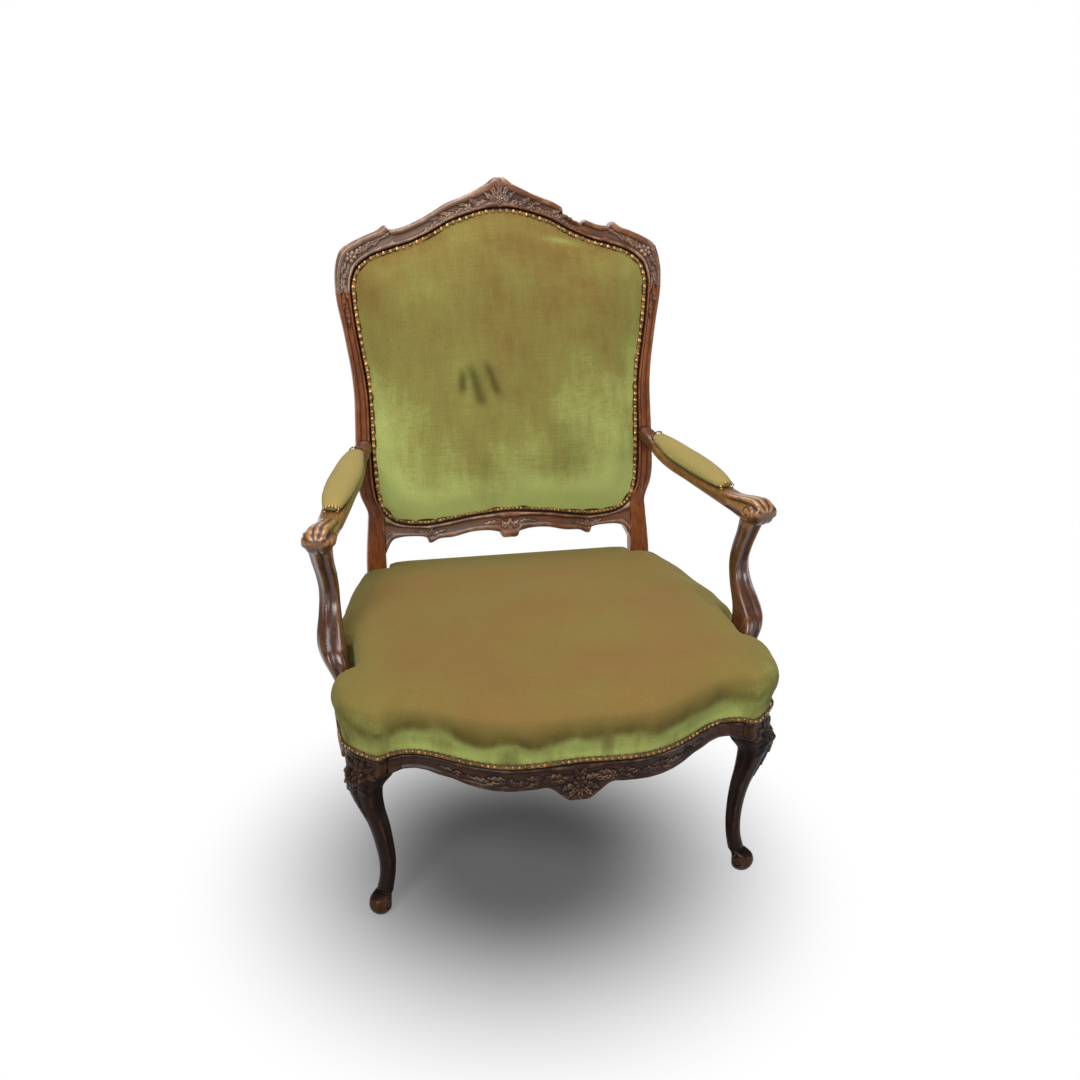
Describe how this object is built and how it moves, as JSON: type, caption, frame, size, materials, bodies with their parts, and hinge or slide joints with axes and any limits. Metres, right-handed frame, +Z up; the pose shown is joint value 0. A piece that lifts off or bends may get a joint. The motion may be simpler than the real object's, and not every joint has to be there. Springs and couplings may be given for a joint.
{
  "type": "open-arm easy chair",
  "caption": "Worn velvet easy chair with a carved wood frame, cabriole legs, padded arms, a nailed back and a sprung seat.",
  "frame": {"origin": "on the floor, under the middle of the chair's bounding box", "axes": "+X towards the sitter's left, +Y towards the back, +Z up"},
  "size_m": [0.7724, 0.7734, 1.0635],
  "materials": {
    "walnut": "old waxed polish, worn and rubbed",
    "velvet": "worn cut pile, crushed",
    "braid": "woven braid with brass nail heads",
    "jute_webbing": "dusty woven jute",
    "hessian": "coarse plain weave",
    "horsehair": "matted curled hair",
    "spring_steel": "dull, lightly rusted wire"
  },
  "bodies": {
    "root": {"front_leg_left": "walnut", "front_leg_right": "walnut", "rear_leg_and_stile_left": "walnut", "rear_leg_and_stile_right": "walnut", "front_seat_rail": "walnut", "side_seat_rail_left": "walnut", "side_seat_rail_right": "walnut", "rear_seat_rail": "walnut", "crest_rail": "walnut", "lower_back_rail": "walnut", "arm_left": "walnut", "arm_right": "walnut", "arm_support_left": "walnut", "arm_support_right": "walnut", "corner_brace_front_left": "walnut", "corner_brace_front_right": "walnut", "corner_brace_rear_left": "walnut", "corner_brace_rear_right": "walnut", "seat_web_lengthwise_1": "jute_webbing", "seat_web_lengthwise_2": "jute_webbing", "seat_web_lengthwise_3": "jute_webbing", "seat_web_lengthwise_4": "jute_webbing", "seat_web_lengthwise_5": "jute_webbing", "seat_web_crosswise_1": "jute_webbing", "seat_web_crosswise_2": "jute_webbing", "seat_web_crosswise_3": "jute_webbing", "seat_web_crosswise_4": "jute_webbing", "back_web_upright_1": "jute_webbing", "back_web_upright_2": "jute_webbing", "back_web_upright_3": "jute_webbing", "back_web_crosswise_1": "jute_webbing", "back_web_crosswise_2": "jute_webbing", "back_web_crosswise_3": "jute_webbing", "seat_spring_1": "spring_steel", "seat_spring_2": "spring_steel", "seat_spring_3": "spring_steel", "seat_spring_4": "spring_steel", "seat_spring_5": "spring_steel", "seat_spring_6": "spring_steel", "seat_spring_7": "spring_steel", "seat_spring_8": "spring_steel", "seat_spring_9": "spring_steel", "seat_hessian": "hessian", "back_hessian": "hessian", "seat_stuffing": "horsehair", "back_stuffing": "horsehair", "seat_cover": "velvet", "back_cover": "velvet", "outside_back_cover": "velvet", "arm_pad_left": "velvet", "arm_pad_right": "velvet", "seat_braid": "braid", "back_braid_front": "braid", "back_braid_rear": "braid"}
  },
  "joints": []
}
